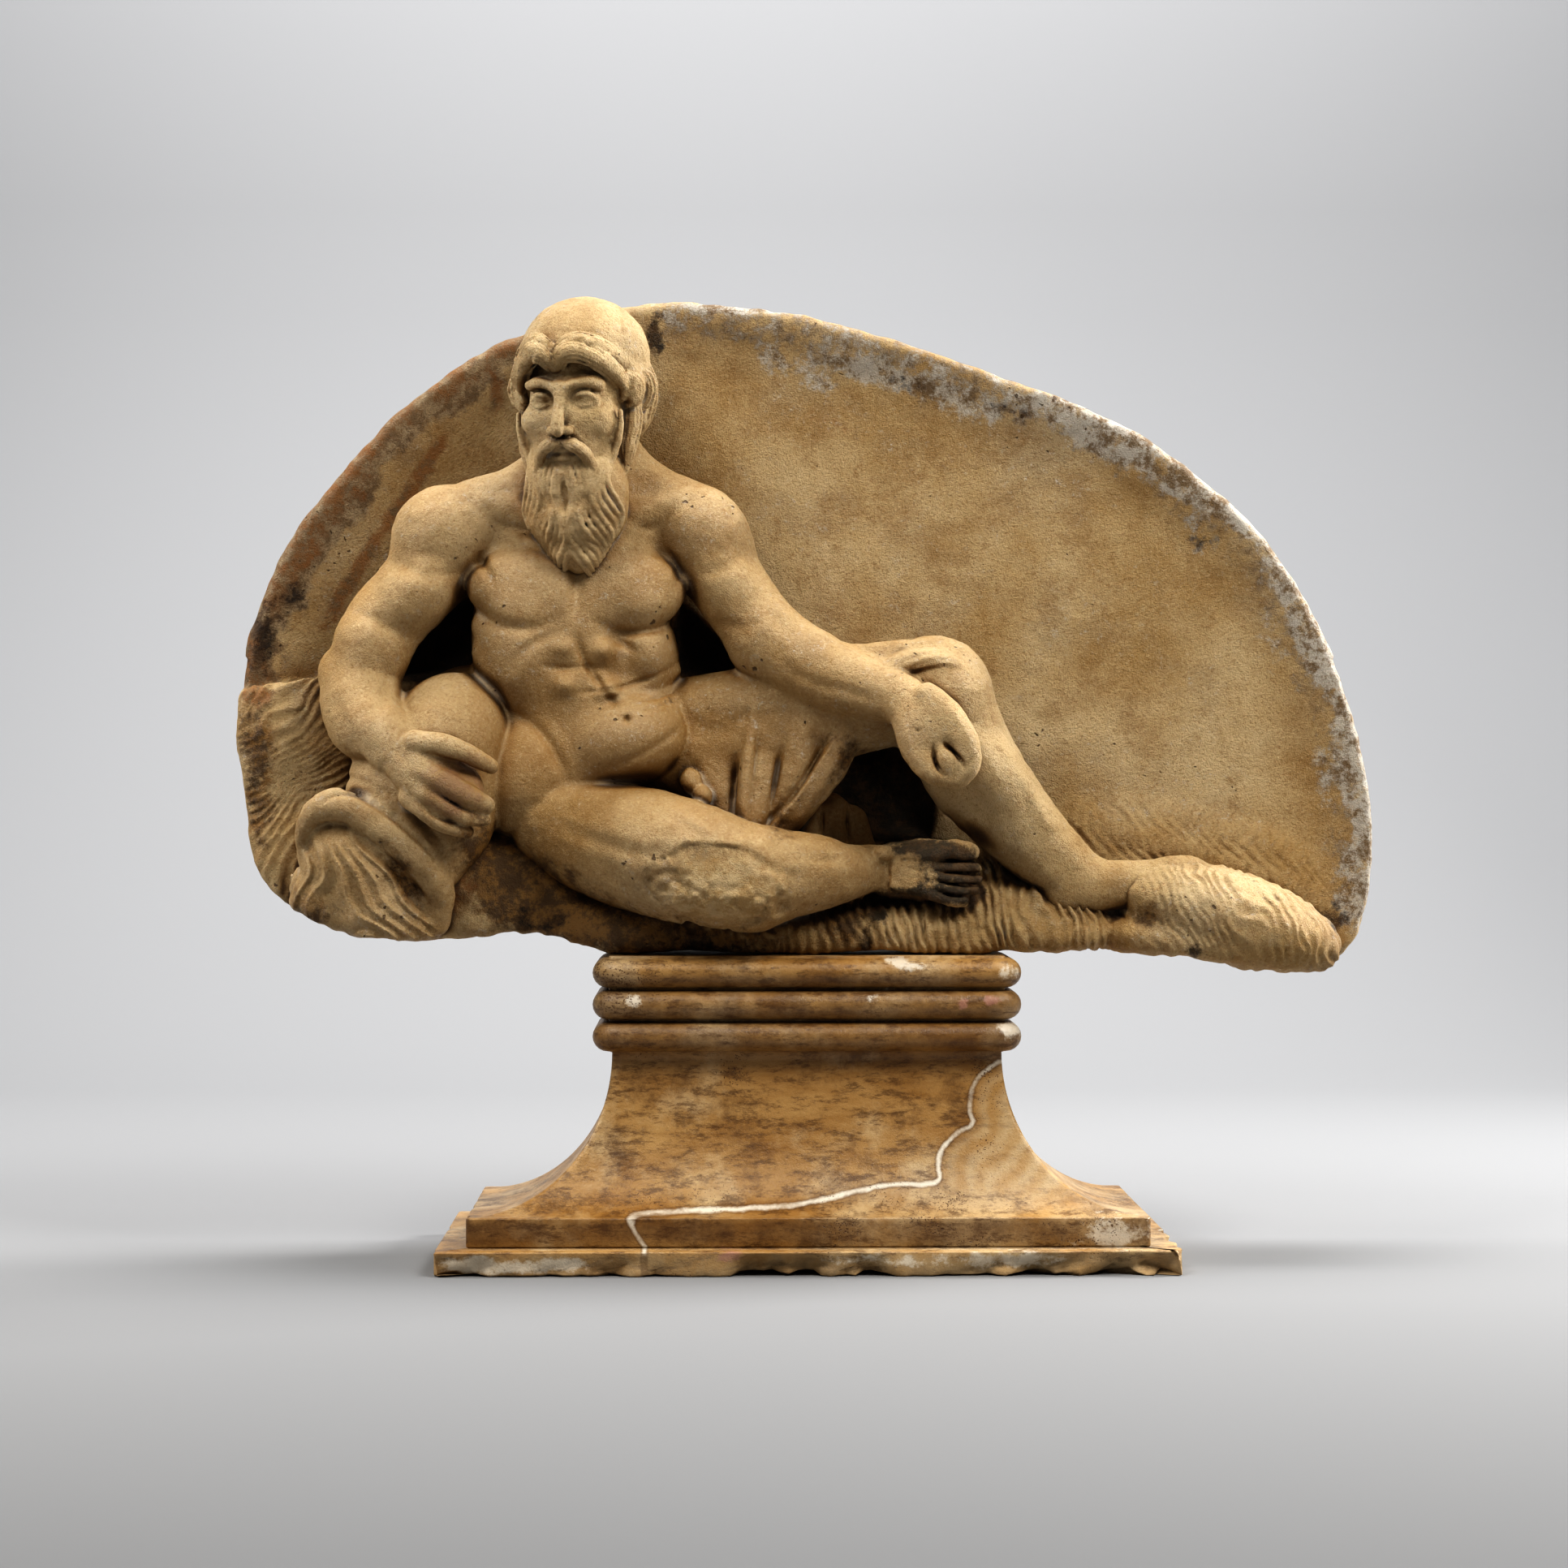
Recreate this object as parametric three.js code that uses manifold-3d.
// A marble high relief of a reclining river god leaning on an urn, standing on a moulded
// stone plinth. Lengths are millimetres, +Z is up, +X runs to the viewer's right and -Y
// points at the viewer. The origin is the middle of the plinth's underside.
import * as THREE from "three";
import { mergeVertices } from "three/addons/utils/BufferGeometryUtils.js";
import Module from "manifold-3d";

const wasm = await Module();
wasm.setup();

// Driving dimensions of the plinth
const FOOT_HALF_WIDTH = 223;
const FOOT_HALF_DEPTH = 104;
const FOOT_TOP = 15;
const STEP_HALF_WIDTH = 205;
const STEP_HALF_DEPTH = 86;
const STEP_TOP = 33;
const NECK_HALF_WIDTH = 119;
const NECK_HALF_DEPTH = 42;
const NECK_TOP = 128.5;
const PLINTH_TOP = 187.3;
const BEAD_COUNT = 3;
const BEAD_RADIUS = 8.4;
const BEAD_REACH = 12;
const NECK_CORNER = 3;
const SCOTIA_STEPS = 7;

// Driving dimensions of the relief, as depths along Y
const JOINT_GAP = 0.3;
const RELIEF_UNDERSIDE = PLINTH_TOP + JOINT_GAP;
const SLAB_BACK = 72;
const FIELD_FRONT = 42;
const RIM_FRONT = 28;
const RIM_BEVEL = 9;
const RELIEF_FRONT = -120;

// How round the carved forms are
const TRUNK_SIDES = 11;
const LIMB_SIDES = 7;
const FINE_SIDES = 5;
const ROUND_BALL = [9, 6];
const ROCK_BALL = [8, 5];
const SMALL_BALL = [7, 4];

/** A manifold solid from a closed three.js geometry, turned the right way out. */
function solid(geometry) {
  geometry.deleteAttribute("normal");
  geometry.deleteAttribute("uv");
  const merged = mergeVertices(geometry, 1e-3);
  const corners = merged.index.array;
  const kept = [];
  for (let i = 0; i < corners.length; i += 3) {
    const [a, b, c] = [corners[i], corners[i + 1], corners[i + 2]];
    if (a !== b && b !== c && c !== a) {
      kept.push(a, b, c);
    }
  }
  const build = (triangles) =>
    new wasm.Manifold(
      new wasm.Mesh({
        numProp: 3,
        vertProperties: new Float32Array(merged.attributes.position.array),
        triVerts: new Uint32Array(triangles),
      }),
    );
  const shape = build(kept);
  if (shape.volume() >= 0) {
    return shape;
  }
  const turned = [];
  for (let i = 0; i < kept.length; i += 3) {
    turned.push(kept[i], kept[i + 2], kept[i + 1]);
  }
  return build(turned);
}

/** One solid from many that overlap. */
function fuse(shapes) {
  let pending = [...shapes];
  while (pending.length > 1) {
    const next = [];
    for (let i = 0; i < pending.length; i += 2) {
      next.push(i + 1 < pending.length ? pending[i].add(pending[i + 1]) : pending[i]);
    }
    pending = next;
  }
  return pending[0];
}

/** A three.js geometry from a manifold solid. */
function geometryOf(shape) {
  const mesh = shape.getMesh();
  const positions = new Float32Array(mesh.numVert * 3);
  for (let i = 0; i < mesh.numVert; i += 1) {
    positions.set(mesh.vertProperties.subarray(i * mesh.numProp, i * mesh.numProp + 3), i * 3);
  }
  const geometry = new THREE.BufferGeometry();
  geometry.setAttribute("position", new THREE.BufferAttribute(positions, 3));
  geometry.setIndex(new THREE.BufferAttribute(new Uint32Array(mesh.triVerts), 1));
  geometry.computeVertexNormals();
  return geometry;
}

/** A tapering limb with round ends, swept through stations [x, y, z, radius]. */
function limb(stations, sides = LIMB_SIDES) {
  const spots = stations.map(([x, y, z]) => new THREE.Vector3(x, y, z));
  const radii = stations.map((station) => station[3]);
  const last = spots.length - 1;
  const heading = (i) =>
    spots[Math.min(i + 1, last)].clone().sub(spots[Math.max(i - 1, 0)]).normalize();
  const rings = [];
  const capAngle = Math.PI / 4;
  const back = heading(0).multiplyScalar(-radii[0] * Math.sin(capAngle));
  rings.push([spots[0].clone().add(back), radii[0] * Math.cos(capAngle), heading(0)]);
  spots.forEach((spot, i) => rings.push([spot, radii[i], heading(i)]));
  const ahead = heading(last).multiplyScalar(radii[last] * Math.sin(capAngle));
  rings.push([spots[last].clone().add(ahead), radii[last] * Math.cos(capAngle), heading(last)]);
  const side = new THREE.Vector3(0, -1, 0);
  const points = [];
  for (const [centre, radius, along] of rings) {
    const front = side.clone().addScaledVector(along, -side.dot(along)).normalize();
    const across = along.clone().cross(front);
    side.copy(front);
    for (let k = 0; k < sides; k += 1) {
      const angle = (2 * Math.PI * k) / sides;
      const spoke = front.clone().multiplyScalar(Math.cos(angle));
      spoke.addScaledVector(across, Math.sin(angle));
      points.push(...centre.clone().addScaledVector(spoke, radius).toArray());
    }
  }
  const faces = [];
  for (let ring = 0; ring + 1 < rings.length; ring += 1) {
    for (let k = 0; k < sides; k += 1) {
      const [a, b] = [ring * sides + k, ring * sides + ((k + 1) % sides)];
      faces.push(a, b, b + sides, a, b + sides, a + sides);
    }
  }
  const poles = [
    spots[0].clone().addScaledVector(heading(0), -radii[0]),
    spots[last].clone().addScaledVector(heading(last), radii[last]),
  ];
  const first = rings.length * sides;
  poles.forEach((pole) => points.push(...pole.toArray()));
  for (let k = 0; k < sides; k += 1) {
    const next = (k + 1) % sides;
    faces.push(first, next, k, first + 1, first - sides + k, first - sides + next);
  }
  const geometry = new THREE.BufferGeometry();
  geometry.setAttribute("position", new THREE.Float32BufferAttribute(points, 3));
  geometry.setIndex(faces);
  return solid(geometry);
}

/** An ellipsoid, turned by some degrees in the picture plane, anticlockwise as seen. */
function ball([x, y, z], [rx, ry, rz], turn = 0, [sides, rings] = ROUND_BALL) {
  const geometry = new THREE.SphereGeometry(1, sides, rings);
  geometry.scale(rx, ry, rz);
  geometry.rotateY(THREE.MathUtils.degToRad(-turn));
  geometry.translate(x, y, z);
  return solid(geometry);
}

/** A closed smooth outline [x, z] pushed from a front depth to a back depth, one end rounded. */
function slab(outline, front, back, bevel, roundBack = false) {
  const curve = new THREE.SplineCurve(outline.map(([x, z]) => new THREE.Vector2(x, z)));
  const shape = new THREE.Shape(curve.getPoints(outline.length - 1));
  const geometry = new THREE.ExtrudeGeometry(shape, {
    depth: back - front - bevel,
    bevelEnabled: bevel > 0,
    bevelThickness: bevel,
    bevelSize: bevel,
    bevelOffset: -bevel,
    bevelSegments: 2,
    steps: 1,
  });
  geometry.rotateX(Math.PI / 2);
  const bounds = new THREE.Box3().setFromBufferAttribute(geometry.attributes.position);
  geometry.translate(0, roundBack ? back - bounds.max.y : front - bounds.min.y, 0);
  return roundBack ? solid(geometry) : solid(geometry).trimByPlane([0, -1, 0], -back);
}

/** A moulded block from plan rectangles with round corners, one at each height. */
function loft(levels) {
  const cornerSteps = 1;
  const ring = ({ z, halfWidth, halfDepth, corner }) => {
    const points = [];
    for (const quarter of [0, 1, 2, 3]) {
      const sx = quarter === 0 || quarter === 3 ? 1 : -1;
      const sy = quarter < 2 ? 1 : -1;
      for (let k = 0; k <= cornerSteps; k += 1) {
        const angle = (Math.PI / 2) * (quarter + k / cornerSteps);
        points.push([
          sx * (halfWidth - corner) + corner * Math.cos(angle),
          sy * (halfDepth - corner) + corner * Math.sin(angle),
          z,
        ]);
      }
    }
    return points;
  };
  const rings = levels.map(ring);
  const count = rings[0].length;
  const positions = rings.flat(2);
  const faces = [];
  for (let level = 0; level + 1 < rings.length; level += 1) {
    for (let k = 0; k < count; k += 1) {
      const [a, b] = [level * count + k, level * count + ((k + 1) % count)];
      faces.push(a, b, b + count, a, b + count, a + count);
    }
  }
  const top = (rings.length - 1) * count;
  for (let k = 1; k + 1 < count; k += 1) {
    faces.push(0, k + 1, k, top, top + k, top + k + 1);
  }
  const geometry = new THREE.BufferGeometry();
  geometry.setAttribute("position", new THREE.Float32BufferAttribute(positions, 3));
  geometry.setIndex(faces);
  return solid(geometry);
}

// The slab: a lopsided half-moon, [x, z] from the lower left corner clockwise.
const SLAB_OUTLINE = [
  [-350, 289], [-355, 331], [-351, 377], [-342, 409], [-326, 443], [-298, 481], [-268, 515],
  [-232, 546], [-192, 570], [-139, 588], [-82, 596], [-26, 592], [32, 580], [91, 561],
  [159, 538], [219, 508], [278, 462], [315, 413], [343, 351], [358, 292], [361, 254],
  [358, 217], [346, 190], [324, 174], [289, 176], [256, 180], [236, 187], [172, 188],
];
// The flat stretch that rests on the plinth, and the ragged edge left of it.
const SLAB_FOOT = [
  [130, RELIEF_UNDERSIDE], [-98, RELIEF_UNDERSIDE], [-122, 188], [-149, 197], [-180, 200],
  [-226, 197], [-280, 199], [-307, 211], [-331, 225], [-344, 252],
];
const OUTLINE = [...SLAB_OUTLINE, ...SLAB_FOOT, SLAB_OUTLINE[0]];

// The sunk field inside the rim, [x, z]; the rim is widest at the upper right.
const FIELD_OUTLINE = [
  [-338, 290], [-338, 372], [-312, 436], [-270, 492], [-214, 540], [-139, 566], [-70, 572],
  [-20, 564], [60, 532], [150, 502], [210, 472], [262, 428], [300, 372], [326, 300],
  [334, 240], [300, 186], [120, 172], [-120, 172], [-290, 190], [-338, 240], [-338, 290],
];

// Joints of the figure, [x, y, z]. "Right" and "left" are the figure's own.
const rightShoulder = [-212, 6, 448];
const rightElbow = [-279, -8, 364];
const rightWrist = [-252, -44, 316];
const leftShoulder = [-70, 6, 450];
const leftElbow = [-27, -13, 381];
const leftWrist = [54, -44, 345];
const rightHip = [-138, -6, 264];
const rightKnee = [-52, -44, 240];
const rightAnkle = [46, -20, 241];
const leftHip = [-86, 16, 308];
const leftKnee = [82, -14, 351];
const leftAnkle = [172, -8, 232];
const skull = [-137, -14, 545];

/** A point moved by an offset, with a radius, as a station of a limb. */
const near = ([x, y, z], [dx, dy, dz], radius) => [x + dx, y + dy, z + dz, radius];

/** The half-moon slab with its raised rim. */
function backgroundSlab() {
  const dish = slab(FIELD_OUTLINE, RELIEF_FRONT, FIELD_FRONT, FIELD_FRONT - RIM_FRONT, true);
  return slab(OUTLINE, RIM_FRONT, SLAB_BACK, RIM_BEVEL).subtract(dish);
}

/** Rocks and rippled bank along the foot, cut to the slab's outline. */
function bank() {
  const rocks = [
    ball([-322, 34, 300], [52, 26, 62], 8, ROCK_BALL),
    ball([-322, 30, 240], [46, 34, 60], -12, ROCK_BALL),
    ball([-196, 8, 222], [62, 42, 44], 0, ROCK_BALL),
    ball([-66, 4, 200], [118, 46, 29], 0, ROCK_BALL),
    ball([88, 2, 197], [104, 44, 27], 0, ROCK_BALL),
    ball([262, 2, 204], [72, 50, 38], -22, ROCK_BALL),
    ball([250, 40, 232], [120, 16, 44], -12, ROCK_BALL),
    ball([112, 24, 232], [62, 26, 32], -30, ROCK_BALL),
  ];
  const ripples = [];
  const rippleCount = 6;
  for (let k = 0; k < rippleCount; k += 1) {
    const x = -10 + 26 * k;
    ripples.push(limb([[x, -34, 212, 6], [x + 8, -44, 188, 9]], FINE_SIDES));
  }
  const toeRidges = 3;
  for (let k = 0; k < toeRidges; k += 1) {
    const x = 226 + 30 * k;
    const z = 229 - 11 * k;
    ripples.push(limb([[x, -38, z, 6], [x + 14, -46, z - 38, 8]], FINE_SIDES));
  }
  const strandCount = 4;
  for (let k = 0; k < strandCount; k += 1) {
    const drop = 30 * k;
    ripples.push(limb([[-306, 6, 366 - drop, 6], [-344, 12, 320 - drop, 7]], FINE_SIDES));
  }
  const whole = fuse([...rocks, ...ripples]);
  return whole.intersect(slab(OUTLINE, RELIEF_FRONT, SLAB_BACK - 4, 0));
}

/** The urn under the right hand: an egg-shaped jar whose wide lip turns to the viewer. */
function urn() {
  const length = 160;
  const depthSquash = 0.6;
  const mouth = new THREE.Vector3(-264, -34, 247);
  const axis = new THREE.Vector3(-0.33, -0.7, -0.63).normalize();
  const profile = [
    [0, 0], [24, 5], [44, 26], [51, 58], [46, 94], [36, 130], [45, 148], [50, 157], [44, 166],
    [35, 160], [30, 144], [0, 142],
  ].map(([radius, along]) => new THREE.Vector2(radius, along - length));
  const geometry = new THREE.LatheGeometry(profile, 14);
  geometry.applyQuaternion(new THREE.Quaternion().setFromUnitVectors(new THREE.Vector3(0, 1, 0), axis));
  geometry.scale(1, depthSquash, 1);
  geometry.translate(mouth.x, mouth.y, mouth.z);
  const jar = solid(geometry);
  const water = [];
  const streamCount = 4;
  for (let k = 0; k < streamCount; k += 1) {
    water.push(limb([[-286 + 13 * k, -32, 256, 8], [-292 + 18 * k, -20, 196, 10]], FINE_SIDES));
  }
  return fuse([jar, ...water]).intersect(slab(OUTLINE, RELIEF_FRONT, SLAB_BACK - 4, 0));
}

/** Chest, belly and hips, leaning on the urn. */
function torso() {
  return [
    limb(
      [[-132, 28, 432, 58], [-134, 30, 380, 63], [-128, 28, 322, 64], [-132, 28, 298, 56]],
      TRUNK_SIDES,
    ),
    limb([near(rightShoulder, [10, 2, 2], 26), near(leftShoulder, [-8, 2, 2], 25)]),
    limb([[-150, 4, 478, 22], [-146, 10, 440, 40]]),
    ball([-165, -10, 420], [37, 27, 26], -8),
    ball([-103, -10, 419], [35, 27, 26], 8),
    ball([-110, -6, 318], [44, 36, 32], 16),
    ball([-168, 4, 302], [40, 36, 46], -10),
    limb([[-66, -8, 300, 7], [-60, -12, 288, 8]], FINE_SIDES),
  ];
}

/** The right arm, bent over the urn, with the hand spread on its belly. */
function rightArm() {
  const hand = [-235, -56, 304];
  const parts = [
    limb([[...rightShoulder, 27], near(rightShoulder, [-48, -6, -52], 24), [...rightElbow, 21]]),
    ball([-238, -10, 414], [31, 26, 25], 48),
    limb([[...rightElbow, 22], near(rightElbow, [2, -10, -22], 27), [...rightWrist, 17]]),
    limb([[...rightWrist, 16], [...hand, 14]]),
    ball(hand, [23, 11, 20], -32),
  ];
  const fingers = [[306, 300], [295, 280], [287, 271], [280, 263]];
  fingers.forEach(([knuckle, tip], k) => {
    const reach = 3 * Math.abs(k - 1);
    const middle = [-208, -66, (knuckle + tip) / 2, 6];
    parts.push(limb([[-228, -61, knuckle, 6.5], middle, [-191 - reach, -62, tip, 5.2]], FINE_SIDES));
  });
  return parts;
}

/** The left arm, lying along the thigh, with a closed hand over the knee. */
function leftArm() {
  const palm = [77, -56, 330];
  const parts = [
    limb([[...leftShoulder, 26], near(leftShoulder, [24, -8, -36], 23), [...leftElbow, 21]]),
    limb([[...leftElbow, 21], near(leftElbow, [26, -10, -9], 23), [...leftWrist, 16]]),
    limb([[...leftWrist, 16], [...palm, 17]]),
    ball([86, -58, 320], [30, 15, 20], -58),
  ];
  const fingers = 4;
  for (let k = 0; k < fingers; k += 1) {
    const x = 99 - 7 * k;
    const knuckle = [x, -68, 322 - 3 * k, 5.5];
    parts.push(limb([knuckle, [x - 3, -72, 306, 5.5], [x - 8, -64, 298, 5]], FINE_SIDES));
  }
  return parts;
}

/** The right leg, folded under, its broken knee thrust forward, and its foot. */
function rightLeg() {
  const parts = [
    ball(rightHip, [42, 34, 33], -20),
    limb([[...rightHip, 31], near(rightKnee, [-16, 4, 4], 37), near(rightKnee, [14, -2, -5], 31)]),
    limb([near(rightKnee, [36, 0, -5], 28), [...rightAnkle, 13.5]]),
    ball([76, -16, 239], [37, 13, 19], -4),
  ];
  const toes = [[254, 7], [244, 5.5], [235, 5], [227, 4.5], [220, 4]];
  toes.forEach(([z, radius], k) => {
    parts.push(limb([[88 - k, -20, z - 1, radius + 1], [106 - 2 * k, -24, z - 2, radius]], FINE_SIDES));
  });
  const knee = fuse(parts);
  const breakFace = new THREE.BoxGeometry(90, 30, 80);
  breakFace.rotateZ(THREE.MathUtils.degToRad(8));
  breakFace.translate(-34, -91, 234);
  return [knee.subtract(solid(breakFace))];
}

/** The left leg, knee raised, with the shin running down to the bank. */
function leftLeg() {
  return [
    limb([[...leftHip, 30], near(leftKnee, [-6, 2, 0], 29)]),
    ball(leftKnee, [33, 30, 34], -30),
    limb([near(leftKnee, [10, -2, -12], 29), [110, -14, 308, 30], near(leftAnkle, [-32, -4, 36], 23)]),
    limb([near(leftAnkle, [-32, -4, 36], 23), [...leftAnkle, 20]]),
    ball([165, -8, 219], [20, 19, 19], 0),
    limb([near(leftAnkle, [4, 0, -2], 19), [212, -6, 227, 15], [240, -4, 232, 15], [250, -2, 228, 12]]),
  ];
}

/** Cloth over the left thigh and knee, hanging in folds between the legs. */
function drapery() {
  const sheet = [
    [-78, 350], [-30, 358], [20, 362], [62, 358], [48, 316], [14, 284], [2, 254], [-40, 246],
    [-70, 266], [-78, 350],
  ];
  const parts = [slab(sheet, -30, SLAB_BACK - 10, 10)];
  const hem = 252;
  const folds = [[-34, -42, 7], [-20, -32, 6], [-2, -24, 5], [18, -16, 5], [42, -8, 6]];
  for (const [top, foot, radius] of folds) {
    parts.push(limb([[top, -32, 350, radius], [foot, -26, hem, radius + 1]], FINE_SIDES));
  }
  const kneeFolds = 3;
  for (let k = 0; k < kneeFolds; k += 1) {
    const inset = 10 * k;
    parts.push(
      limb(
        [
          [44 + inset, -24, 374 - inset / 2, 4], [76 + inset / 2, -36, 380 - inset, 4.5],
          [106, -36, 366 - inset, 4.5], [116 - inset / 3, -30, 344 - inset / 2, 4],
        ],
        FINE_SIDES,
      ),
    );
  }
  return parts;
}

/** The head, turned a little to the figure's right, with cap of hair, rolled locks and beard. */
function head() {
  const [x, y, z] = skull;
  const parts = [
    ball(skull, [41, 47, 45]),
    limb([near(skull, [6, 14, -40], 27), [-128, 8, 450, 33]]),
    limb([[-112, 10, 494, 15], [-84, 8, 466, 16]], FINE_SIDES),
    ball([x - 6, y - 20, z - 30], [31, 31, 36]),
    limb([near(skull, [-9, -50, -16], 4), near(skull, [-10, -53, -35], 7)], FINE_SIDES),
    ball([x + 38, y + 4, z - 27], [5, 9, 11], 0, SMALL_BALL),
    limb([[x - 8, -34, 504, 27], [x - 7, -40, 468, 33], [x - 8, -44, 444, 18]]),
  ];
  const rollCount = 5;
  for (let k = 0; k < rollCount; k += 1) {
    const swing = -1 + (2 * k) / (rollCount - 1);
    const spot = [x - 1 + 36 * swing, y - 50 + 22 * swing * swing, z + 2 - 16 * swing * swing];
    parts.push(ball(spot, [13, 11, 10], -40 * swing, SMALL_BALL));
  }
  const lockCount = 5;
  for (let k = 0; k < lockCount; k += 1) {
    const side = (k - (lockCount - 1) / 2) / ((lockCount - 1) / 2);
    const bend = Math.abs(side);
    parts.push(
      limb(
        [
          [x - 8 + 26 * side, -58 + 16 * bend, 490, 8], [x - 7 + 34 * side, -64 + 24 * bend, 468, 10],
          [x - 8 + 18 * side, -58 + 10 * bend, 440 + 8 * bend, 8],
        ],
        FINE_SIDES,
      ),
    );
  }
  return parts;
}

/** The plinth: chipped foot slab, step, deep hollow moulding, neck and three beads. */
function plinthSolid() {
  const levels = [];
  const add = (z, halfWidth, halfDepth, corner) => levels.push({ z, halfWidth, halfDepth, corner });
  add(0, FOOT_HALF_WIDTH - 1, FOOT_HALF_DEPTH - 1, 2);
  add(2, FOOT_HALF_WIDTH, FOOT_HALF_DEPTH, 2);
  add(FOOT_TOP, FOOT_HALF_WIDTH, FOOT_HALF_DEPTH, 2);
  add(FOOT_TOP + 0.6, STEP_HALF_WIDTH, STEP_HALF_DEPTH, 1);
  add(STEP_TOP, STEP_HALF_WIDTH, STEP_HALF_DEPTH, 1);
  for (let k = 1; k <= SCOTIA_STEPS; k += 1) {
    const angle = (Math.PI / 2) * (k / SCOTIA_STEPS);
    const inset = Math.sin(angle);
    const rise = 1 - Math.cos(angle);
    add(
      STEP_TOP + 0.5 + (NECK_TOP - STEP_TOP - 0.5) * rise,
      STEP_HALF_WIDTH - (STEP_HALF_WIDTH - NECK_HALF_WIDTH) * inset,
      STEP_HALF_DEPTH - (STEP_HALF_DEPTH - NECK_HALF_DEPTH) * inset,
      1 + (NECK_CORNER - 1) * rise,
    );
  }
  const pitch = (PLINTH_TOP - NECK_TOP) / BEAD_COUNT;
  const arcSteps = 5;
  for (let bead = 0; bead < BEAD_COUNT; bead += 1) {
    const middle = NECK_TOP + pitch * (bead + 0.5);
    for (let k = 0; k <= arcSteps; k += 1) {
      const angle = -Math.PI / 2 + (Math.PI * k) / arcSteps;
      const reach = BEAD_REACH - BEAD_RADIUS + BEAD_RADIUS * Math.cos(angle);
      const flat = bead === BEAD_COUNT - 1 && k === arcSteps;
      add(
        flat ? PLINTH_TOP : middle + BEAD_RADIUS * 1.08 * Math.sin(angle),
        NECK_HALF_WIDTH + reach,
        NECK_HALF_DEPTH + reach,
        NECK_CORNER + 4 + reach / 2,
      );
    }
  }
  const block = loft(levels);
  const chips = [
    [-18, 26, 13, 9], [26, 30, 9, 7], [-120, 40, 7, 6], [182, 16, 14, 11], [118, 44, 6, 6],
    [-206, 20, 8, 7], [70, 22, 8, 5],
  ].map(([x, halfLength, height, bite]) => {
    const centre = [x, -FOOT_HALF_DEPTH - 4, height / 2 - 2];
    return ball(centre, [halfLength, bite + 4, height], 3, SMALL_BALL);
  });
  const rightEnd = ball([FOOT_HALF_WIDTH + 4, -70, 6], [11, 40, 12], 0);
  return block.subtract(fuse([...chips, rightEnd]));
}

/** The whole relief as the one block it is carved from. */
function reliefSolid() {
  const carved = fuse([
    backgroundSlab(), bank(), urn(), ...torso(), ...drapery(), ...leftLeg(), ...rightLeg(),
    ...rightArm(), ...leftArm(), ...head(),
  ]);
  const seat = new THREE.BoxGeometry(2 * (NECK_HALF_WIDTH + BEAD_REACH + 4), 400, 40);
  seat.translate(0, 0, RELIEF_UNDERSIDE - 20);
  const shells = carved.subtract(solid(seat)).trimByPlane([0, -1, 0], -SLAB_BACK).decompose();
  return shells.reduce((largest, shell) => (shell.volume() > largest.volume() ? shell : largest));
}

const marble = new THREE.MeshStandardMaterial({ color: 0xb99a6b, roughness: 0.55, metalness: 0 });
marble.name = "aged_marble";
const ochreStone = new THREE.MeshStandardMaterial({ color: 0xb07a35, roughness: 0.4, metalness: 0 });
ochreStone.name = "ochre_stone";

const relief = new THREE.Mesh(geometryOf(reliefSolid()), marble);
relief.name = "river_god_relief";
const plinth = new THREE.Mesh(geometryOf(plinthSolid()), ochreStone);
plinth.name = "moulded_plinth";

const sculpture = new THREE.Group();
sculpture.add(plinth, relief);

export default sculpture;
